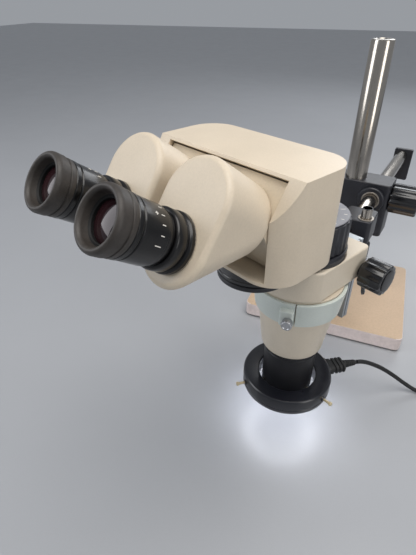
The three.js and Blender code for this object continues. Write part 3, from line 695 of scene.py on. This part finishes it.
def head_hollow(half, front, back):
    """The hollow of the head cover, cut back below its sloping front."""
    wall = HEAD["wall"]
    outline = rounded_outline(-half + wall, half - wall, front + wall, back - wall, 20, 12)
    hollow = lofted("hollow", raised(outline, HEAD["low"] + 2.6, HEAD["high"] - wall), SCOPE)
    item = bpy.data.objects.new("hollow", hollow)
    bpy.context.scene.collection.objects.link(item)
    inset = wall + 1
    slope = [(TOP_EDGE[0] + inset, TOP_EDGE[1]), (TOP_EDGE[0] + inset, 420), (-200, 420),
             (-200, CHIN[1] - 102), (CHIN[0] + inset, CHIN[1])]
    cut(item, side_profile("slope", slope, 100))
    mesh = item.data
    bpy.data.objects.remove(item)
    return mesh


def round_edges(item, width, segments, sharp):
    """Rounds a piece's sharp edges for good."""
    edges = item.modifiers.new("round", "BEVEL")
    edges.width = width * MM
    edges.segments = segments
    edges.limit_method = "ANGLE"
    edges.angle_limit = math.radians(sharp)
    edges.use_clamp_overlap = True
    apply_modifiers(item)
    for polygon in item.data.polygons:
        polygon.use_smooth = True
    item.data.set_sharp_from_angle(angle=math.radians(35))


HOUSING = {"radius": 27.5, "reach": 28.6, "depth": 46, "fillet": 4.0}


def stadium(radius, reach, z, steps=40):
    """A round-ended outline about two centres, one on the axis and one a reach below it."""
    points = []
    for k in range(steps + 1):
        angle = math.pi * k / steps
        points.append((radius * math.cos(angle), radius * math.sin(angle), z))
    for k in range(steps + 1):
        angle = math.pi + math.pi * k / steps
        points.append((radius * math.cos(angle), -reach + radius * math.sin(angle), z))
    return points


def housing_sections():
    """Round at the pivot, growing into the round-ended front face, with both edges rounded."""
    reach, depth, fillet = HOUSING["reach"], HOUSING["depth"], HOUSING["fillet"]
    sections = []
    for k in range(5):
        angle = math.radians(90 * k / 4)
        sections.append((0.6 + 1.2 * (1 - math.cos(angle)), -1.2 * (1 - math.sin(angle))))
    for k in range(1, 12):
        sections.append((1.8 + (depth - fillet - 1.8) * k / 12, 0))
    for k in range(9):
        angle = math.radians(90 * k / 8)
        sections.append((depth - fillet + fillet * math.sin(angle), -fillet * (1 - math.cos(angle))))
    result = []
    for z, inset in sections:
        share = min(1.0, max(0.0, (z - 0.6) / (depth - fillet)))
        radius = HOUSING["radius"] - (1 - share) + inset
        result.append(stadium(radius, reach * share + 0.02, z))
    return result


def eye_side(side):
    place = EYE[side]
    reach, depth = HOUSING["reach"], HOUSING["depth"]
    shell = finish_piece(lofted("prism_cover_" + side, housing_sections(), place), "prism_cover_" + side,
                         "prism_housing_" + side, "cream")
    eye = along(place, (0, -reach, 0), (0, 0, 1))
    cut(shell, turned("eye_bore", rod_profile(15.3, 26, depth + 5), eye, sides=72))
    shell.data.set_sharp_from_angle(angle=math.radians(35))
    trim("pivot_sleeve_" + side, "prism_housing_" + side, "dark_grey",
         [(10, -13), (14.4, -13), (14.4, 0.5), (25.2, 0.5), (25.2, 0.7), (10, 0.7), (10, -13)], place,
         bevel=0)
    finish_cad("prism_" + side, "prism", 0)
    face = depth
    tube = [(12, 28), (15, 28), (15, face + 0.3), (19.0, face + 0.3), (19.4, face + 0.8),
            (19.4, face + 3.6), (18.8, face + 4.4), (17.3, face + 5.0), (17.3, face + 6.2),
            (18.4, face + 6.8), (18.8, face + 7.4), (18.8, face + 13.2), (18.4, face + 14.0),
            (17.4, face + 14.6), (14.4, face + 14.6), (14.4, face + 37.5), (12, face + 37.5), (12, 28)]
    lathe("eyepiece_body_" + side, "eyepiece_" + side, "anodised", tube, eye, bevel=0.15)
    # A thin pale metallic ring on the black flange's edge.
    trim("eyepiece_bright_edge_" + side, "eyepiece_" + side, "rim",
         [(19.1, face + 0.35), (19.48, face + 0.6), (19.48, face + 1.1), (19.1, face + 1.3),
          (19.1, face + 0.35)], eye, bevel=0)
    diopter(side, eye, face)
    trim("eyecup_collar_" + side, "eyecup_" + side, "anodised",
         [(14.9, face + 38.4), (17.9, face + 38.4), (18.4, face + 39), (18.4, face + 41.6),
          (17.9, face + 42.2), (14.9, face + 42.2), (14.9, face + 38.4)], eye, bevel=0.2)
    lathe("eyecup_rubber_" + side, "eyecup_" + side, "cup", cup_profile(face), eye, bevel=0, sides=112)
    lathe("eye_glass_" + side, "eye_lens_" + side, "lens", [(0, 86), (12.0, 86)]
          + dome(12.0, 92.6, 2.2)[::-1] + [(0, 94.8)], eye, bevel=0)
    trim("eye_lens_cell_" + side, "eyecup_" + side, "shadow",
         [(12.1, 92.7), (12.1, 94.4), (12.6, 95.0), (13.0, 94.6), (13.4, 95.2), (13.9, 94.8), (14.4, 95.2),
          (14.4, 92.7), (12.1, 92.7)], eye, bevel=0)


def cup_profile(face):
    """The eyecup: a waist over the collar, then a thick rolled lip."""
    base = face + 42.4
    lip = face + 51.6
    outer = [(15.6, base), (18.3, base), (18.5, base + 0.4), (18.5, base + 3), (17.9, base + 3.5),
             (17.9, base + 4), (18.9, base + 4.8)]
    for k in range(17):
        angle = math.radians(180 * k / 16)
        outer.append((16.7 + 2.3 * math.cos(angle), lip + 3.3 * math.sin(angle) + 0.1))
    inner = [(13.6, face + 49), (12.6, face + 46), (12.4, base), (15.6, base)]
    return outer + inner


MARKS = {"count": 5, "step": 18.5, "short": 2.4, "long": 4.2, "rise": 8.6, "first_right": 70,
         "first_left": 100}


def diopter(side, eye, face):
    low, high = face + 15.2, face + 38
    profile = [(14.8, low), (16.6, low), (17.0, low + 0.6), (17.0, low + 4.4), (17.9, low + 5.2),
               (18.0, low + 6.4), (18.1, high - 0.8), (17.5, high), (14.8, high), (14.8, low)]
    lathe("diopter_sleeve_" + side, "diopter_ring_" + side, "anodised", profile, eye, bevel=0.12)
    first = MARKS["first_" + side]
    for k in range(MARKS["count"]):
        length = MARKS["long"] if k == MARKS["count"] - 1 else MARKS["short"]
        marking(f"diopter_mark_{side}_{k}", side, eye, first - MARKS["step"] * k, low + MARKS["rise"],
                length, 0.5)
    plus = first - MARKS["step"]
    marking(f"diopter_plus_up_{side}", side, eye, plus, low + 13.4, 2.2, 0.5)
    marking(f"diopter_plus_across_{side}", side, eye, plus, low + 14.25, 0.5, 2.2)


def marking(name, side, eye, angle, z, length, width):
    """A painted mark, just proud of the diopter sleeve."""
    outward = direction(angle)
    spot = outward * 17.6 + Vector((0, 0, z))
    place = along(eye, spot, outward, across=(0, 0, 1))
    block(name, "diopter_ring_" + side, "white", rounded_outline(0, length, -width / 2, width / 2, 0.1, 2),
          0.2, 0.58, place, bevel=0, stands_for=False)


RING = {"inner": 34.1, "outer": 52.8, "low": 50.7, "high": 70.7, "lead": 60, "screws": (2, 122, 242)}


def ring_light():
    inner, outer, low, high = RING["inner"], RING["outer"], RING["low"], RING["high"]
    body = [(inner, low), (inner + 2.9, low), (inner + 2.9, high - 4.7), (outer - 2.9, high - 4.7),
            (outer - 2.9, low), (outer - 1.4, low), (outer - 0.4, low + 0.6), (outer, low + 1.8),
            (outer, low + 5.2), (outer - 0.5, low + 5.7), (outer - 0.5, low + 6.5), (outer, low + 7),
            (outer, high - 2.6), (outer - 0.6, high - 1), (outer - 2, high), (inner + 2.4, high),
            (inner + 0.6, high - 0.7), (inner, high - 2), (inner, low)]
    lathe("ring_light_body", "ring_light_housing", "ring_black", body, SCOPE, bevel=0.15, sides=144)
    trim("ring_light_bore", "ring_light_housing", "inner_ring",
         ring_profile(33.7, 34.05, low + 0.5, high - 2.4), SCOPE, bevel=0, sides=144)
    lathe("ring_light_board", "led_board", "pcb", ring_profile(37.4, 49.5, 63.5, 65),
          SCOPE, bevel=0)
    lathe("ring_light_cover", "ring_light_diffuser", "led", ring_profile(37.2, 49.7, low + 0.8, low + 2.8),
          SCOPE, bevel=0.2)
    for k, angle in enumerate(RING["screws"]):
        way = direction(angle)
        place = along(SCOPE, way * 30.1 + Vector((0, 0, 60.5)), way)
        screw(f"ring_thumbscrew_{k + 1}", f"ring_screw_{k + 1}", "brass", place, 1.6, 31, 2.6, 3.5, 12)
        trim(f"ring_screw_boss_{k + 1}", "ring_light_housing", "ring_black",
             [(1.9, 22.4), (3.6, 22.4), (3.2, 24.2), (1.9, 24.2), (1.9, 22.4)], place, bevel=0.2, sides=32)
    lead_plug()


def lead_plug():
    """The moulded plug in the ring light's side, with grip ribs and a tapered relief."""
    way = direction(RING["lead"])
    place = along(SCOPE, way * (RING["outer"] + 0.4) + Vector((0, 0, 62)), way)
    half_high, half_wide = 5.5, 10
    sections = []
    for z, grow in ((0, -1), (0.8, 0), (5.5, 0), (6, -1.1), (8, -1.1), (8.5, 0), (11, 0), (11.5, -1.1),
                    (13, -1.1), (13.5, 0), (16, 0), (16.5, -1.1), (18, -1.1), (18.5, 0), (20.5, -0.2),
                    (22, -1.8)):
        outline = rounded_outline(-half_high - grow, half_high + grow, -half_wide - grow, half_wide + grow,
                                  3.5, 6)
        sections.append([(x, y, z) for x, y in outline])
    finish_piece(lofted("lead_grip", sections, place), "lead_grip", "lead_plug", "rubber", bevel=0.2,
                 segments=2)
    relief = [(0, 21.5), (5.2, 21.6)]
    for k in range(6):
        z = 23 + 2.5 * k
        radius = 5.0 - 0.25 * k
        relief += [(radius, z), (radius, z + 1.2), (radius - 0.9, z + 1.4), (radius - 0.9, z + 2.3)]
    relief += [(2.95, 39), (0, 39)]
    trim("lead_relief", "lead_plug", "rubber", relief, place, bevel=0.15, sides=40)
    socket = rounded_outline(-6.6, 6.6, -11.4, 11.4, 3, 6)
    block("lead_socket", "ring_light_housing", "ring_black", socket, -3.5, 0.3, place, bevel=0.8,
          stands_for=False)


CABLE_RADIUS = 2.75
ROUTE = [(61.9, -214.9, 62), (66.5, -211.6, 61.2), (76.8, -203.6, 55), (93, -194.5, 44),
         (110.7, -185.3, 28.5), (128.8, -180, 14), (146, -177.6, 4.4), (160, -176.4, 2.9),
         (176, -175.4, 2.8), (190.6, -175, 2.8)]
COIL = {"x": 213, "y": -144, "outer": 32.8, "inner": 27.2, "rise": 5.6, "floor": 2.8, "leave": -75}
TAIL = 21
TURNS = [("outer", 0, "inner", 0), ("inner", 0, "inner", 1), ("inner", 1, "inner", 2),
         ("inner", 2, "inner", 3), ("inner", 3, "outer", 3), ("outer", 3, "outer", 2),
         ("outer", 2, "outer", 1), ("outer", 1, "outer", 1)]


def catmull(points, step):
    """Points about a step apart on a smooth curve through the given ones."""
    points = [Vector(p) for p in points]
    ends = [2 * points[0] - points[1]] + points + [2 * points[-1] - points[-2]]
    result = []
    for k in range(1, len(ends) - 2):
        a, b, c, d = ends[k - 1:k + 3]
        count = max(1, round((c - b).length / step))
        for i in range(count):
            t = i / count
            result.append(0.5 * (2 * b + (c - a) * t + (2 * a - 5 * b + 4 * c - d) * t ** 2
                                 + (3 * b - a - 3 * c + d) * t ** 3))
    return result + [points[-1]]


def coil_points(per_turn=40):
    """The coil's turns, each easing over to its neighbour in the last part of the turn."""
    points = []
    ease_from = 0.84
    for start, low, end, high in TURNS:
        for k in range(per_turn):
            share = k / per_turn
            eased = max(0.0, (share - ease_from) / (1 - ease_from))
            eased = eased * eased * (3 - 2 * eased)
            radius = COIL[start] + (COIL[end] - COIL[start]) * eased
            z = COIL["floor"] + COIL["rise"] * (low + (high - low) * eased)
            angle = math.radians(-90) + FULL_TURN * share
            points.append(Vector((COIL["x"] + radius * math.cos(angle),
                                  COIL["y"] + radius * math.sin(angle), z)))
    last = COIL["outer"]
    top = COIL["floor"] + COIL["rise"]
    for degrees in (-90, COIL["leave"]):
        angle = math.radians(degrees)
        points.append(Vector((COIL["x"] + last * math.cos(angle), COIL["y"] + last * math.sin(angle), top)))
    return points


def tail_points(start):
    """The end of the lead, off the top of the coil and down to the plug on the table."""
    angle = math.radians(COIL["leave"])
    way = Vector((-math.sin(angle), math.cos(angle), 0))
    low = 5.6
    points = []
    for k in range(1, 13):
        share = k / 12
        z = low + (start.z - low) * (0.5 + 0.5 * math.cos(math.pi * share))
        points.append(Vector((start.x, start.y, 0)) + way * TAIL * share + Vector((0, 0, z)))
    return points, way


def lead():
    coil = coil_points()
    tail, way = tail_points(coil[-1])
    points = catmull(ROUTE, 5.5) + coil + tail
    curve = bpy.data.curves.new("lead", "CURVE")
    curve.dimensions = "3D"
    spline = curve.splines.new("POLY")
    spline.points.add(len(points) - 1)
    for target, point in zip(spline.points, points):
        target.co = (point.x * MM, point.y * MM, point.z * MM, 1)
    spline.use_smooth = True
    curve.bevel_depth = CABLE_RADIUS * MM
    curve.bevel_resolution = 4
    curve.use_fill_caps = True
    cable = bpy.data.objects.new("lead", curve)
    bpy.context.scene.collection.objects.link(cable)
    curve.materials.append(LOOK["rubber"])
    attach(cable, NODE_BODY["lead_cable"])
    lead_nodes = [node for node in ("lead_cable", "lead_coil", "lead_tail") if node in frame["nodes"]]
    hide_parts(*lead_nodes)
    grip = far_plug(tail[-1], way)
    near = bpy.data.objects["lead_grip"]
    [near, bpy.data.objects["lead_relief"]] + grip + lead_ties()


def far_plug(start, way):
    place = along(STAND, start, way)
    profile = [(0, 0), (3.4, 0)]
    for k in range(4):
        z = 1 + 2.6 * k
        radius = 3.6 + 0.4 * k
        profile += [(radius, z), (radius + 0.1, z + 1.4), (radius - 0.6, z + 1.6), (radius - 0.6, z + 2.4)]
    profile += [(5.2, 12), (5.5, 13), (5.5, 20), (5.1, 20.6), (5.1, 22), (5.5, 22.6), (5.5, 31.4),
                (4.6, 32.6), (0, 32.6)]
    grip = lathe("far_plug_grip", "far_plug", "rubber", profile, place, bevel=0.15, sides=48)
    barrel = trim("far_plug_barrel", "far_plug", "steel",
                  [(1.1, 32), (2.75, 32), (2.75, 42.4), (2.3, 43), (1.3, 43), (1.1, 42.6), (1.1, 32)],
                  place, bevel=0.1, sides=48)
    return [grip, barrel]


def lead_ties():
    """Two ties round the coil."""
    ties = []
    for k, degrees in enumerate((60, 180)):
        way = direction(degrees)
        middle = (COIL["outer"] + COIL["inner"]) / 2
        centre = Vector((COIL["x"], COIL["y"], 0)) + way * middle + Vector((0, 0, 12.0))
        place = along(STAND, centre, Vector((-way.y, way.x, 0)), across=way)
        outline_out = rounded_outline(-6.6, 6.6, -11.9, 11.9, 3.2, 6)
        outline_in = rounded_outline(-5.7, 5.7, -11.1, 11.1, 2.6, 6)
        sections = [[(x, y, z) for x, y in outline] for outline, z in
                    ((outline_out, -1.6), (outline_out, 1.6), (outline_in, 1.6), (outline_in, -1.6))]
        mesh = ring_between(f"coil_tie_{k}", sections, place)
        ties.append(finish_piece(mesh, f"coil_tie_{k}", "lead_coil", "rubber", stands_for=False))
    return ties


def ring_between(name, sections, place):
    """Outlines joined one to the next and the last to the first, as a band."""
    count = len(sections[0])
    corners = [point for section in sections for point in section]
    faces = []
    for row in range(len(sections)):
        after = (row + 1) % len(sections)
        for k in range(count):
            step = (k + 1) % count
            faces.append((row * count + k, row * count + step, after * count + step, after * count + k))
    return built(name, corners, faces, place)


# ---------------------------------------------------------------- camera, light, floor


VIEW = {"spot": (36.5, -638.1, 454.0), "heading": 22.92, "fall": 34.4, "roll": -0.5, "lens": 27.3,
        "film": 36}


def camera():
    """The viewpoint: its place, heading and lens."""
    heading, fall, roll = [math.radians(VIEW[key]) for key in ("heading", "fall", "roll")]
    right = Vector((math.cos(heading), math.sin(heading), 0))
    ahead = Vector((-math.sin(heading) * math.cos(fall), math.cos(heading) * math.cos(fall),
                    -math.sin(fall)))
    up = right.cross(ahead)
    across = right * math.cos(roll) + up * math.sin(roll)
    over = up * math.cos(roll) - right * math.sin(roll)
    data = bpy.data.cameras.new("camera")
    data.sensor_width = VIEW["film"]
    data.lens = VIEW["lens"]
    item = bpy.data.objects.new("camera", data)
    bpy.context.scene.collection.objects.link(item)
    turn = Matrix((across, over, -ahead)).transposed().to_4x4()
    item.matrix_world = Matrix.Translation(Vector(VIEW["spot"]) * MM) @ turn
    bpy.context.scene.camera = item


def area_light(name, spot, target, size, power, colour=(1, 1, 1)):
    data = bpy.data.lights.new(name, "AREA")
    data.shape = "RECTANGLE"
    data.size, data.size_y = size
    data.energy = power
    data.color = colour
    item = bpy.data.objects.new(name, data)
    bpy.context.scene.collection.objects.link(item)
    item.location = spot
    item.rotation_euler = (Vector(target) - Vector(spot)).to_track_quat("-Z", "Y").to_euler()


def studio():
    floor_mesh = bpy.data.meshes.new("floor")
    reach = 6
    below = -0.2 * MM
    corners = [(x * reach, y * reach, below) for x, y in ((-1, -1), (1, -1), (1, 1), (-1, 1))]
    floor_mesh.from_pydata(corners, [], [(0, 1, 2, 3)])
    floor = bpy.data.objects.new("floor", floor_mesh)
    bpy.context.scene.collection.objects.link(floor)
    floor_mesh.materials.append(surface("floor_pale", "A3A5A9", 0.34, blotch=0.02, blotch_scale=4,
                                        grain=0.02))
    world = bpy.data.worlds.new("studio")
    bpy.context.scene.world = world
    world.use_nodes = True
    background = world.node_tree.nodes["Background"]
    background.inputs["Color"].default_value = (0.78, 0.82, 0.88, 1)
    background.inputs["Strength"].default_value = 0.4
    area_light("overhead", (0.2, -0.5, 1.9), (0, -0.2, 0.2), (1.6, 1.2), 26, (1, 0.97, 0.93))
    area_light("from_left", (-1.6, -0.9, 1.0), (0, -0.3, 0.25), (0.9, 1.1), 10, (0.95, 0.97, 1))
    area_light("from_right", (1.5, -1.0, 0.8), (0, -0.3, 0.2), (0.7, 1.0), 7, (1, 0.98, 0.95))
    area_light("behind", (0.4, 1.6, 1.1), (0, 0, 0.2), (1.4, 0.5), 9, (0.95, 0.97, 1))
    bpy.context.scene.view_settings.view_transform = "Standard"


def leftovers():
    """CAD nodes that no piece stands for get their own finish."""
    for node, look, bevel in (("base_mat", "rubber", 0.4), ("pole_bolt", "steel", 0)):
        finish_cad(node, look, bevel)


camera()
ring_light()
lead()
stand()
boom()
front_clamp()
carriage()
pod()
head()
for side_name in SIDES:
    eye_side(side_name)
leftovers()
studio()
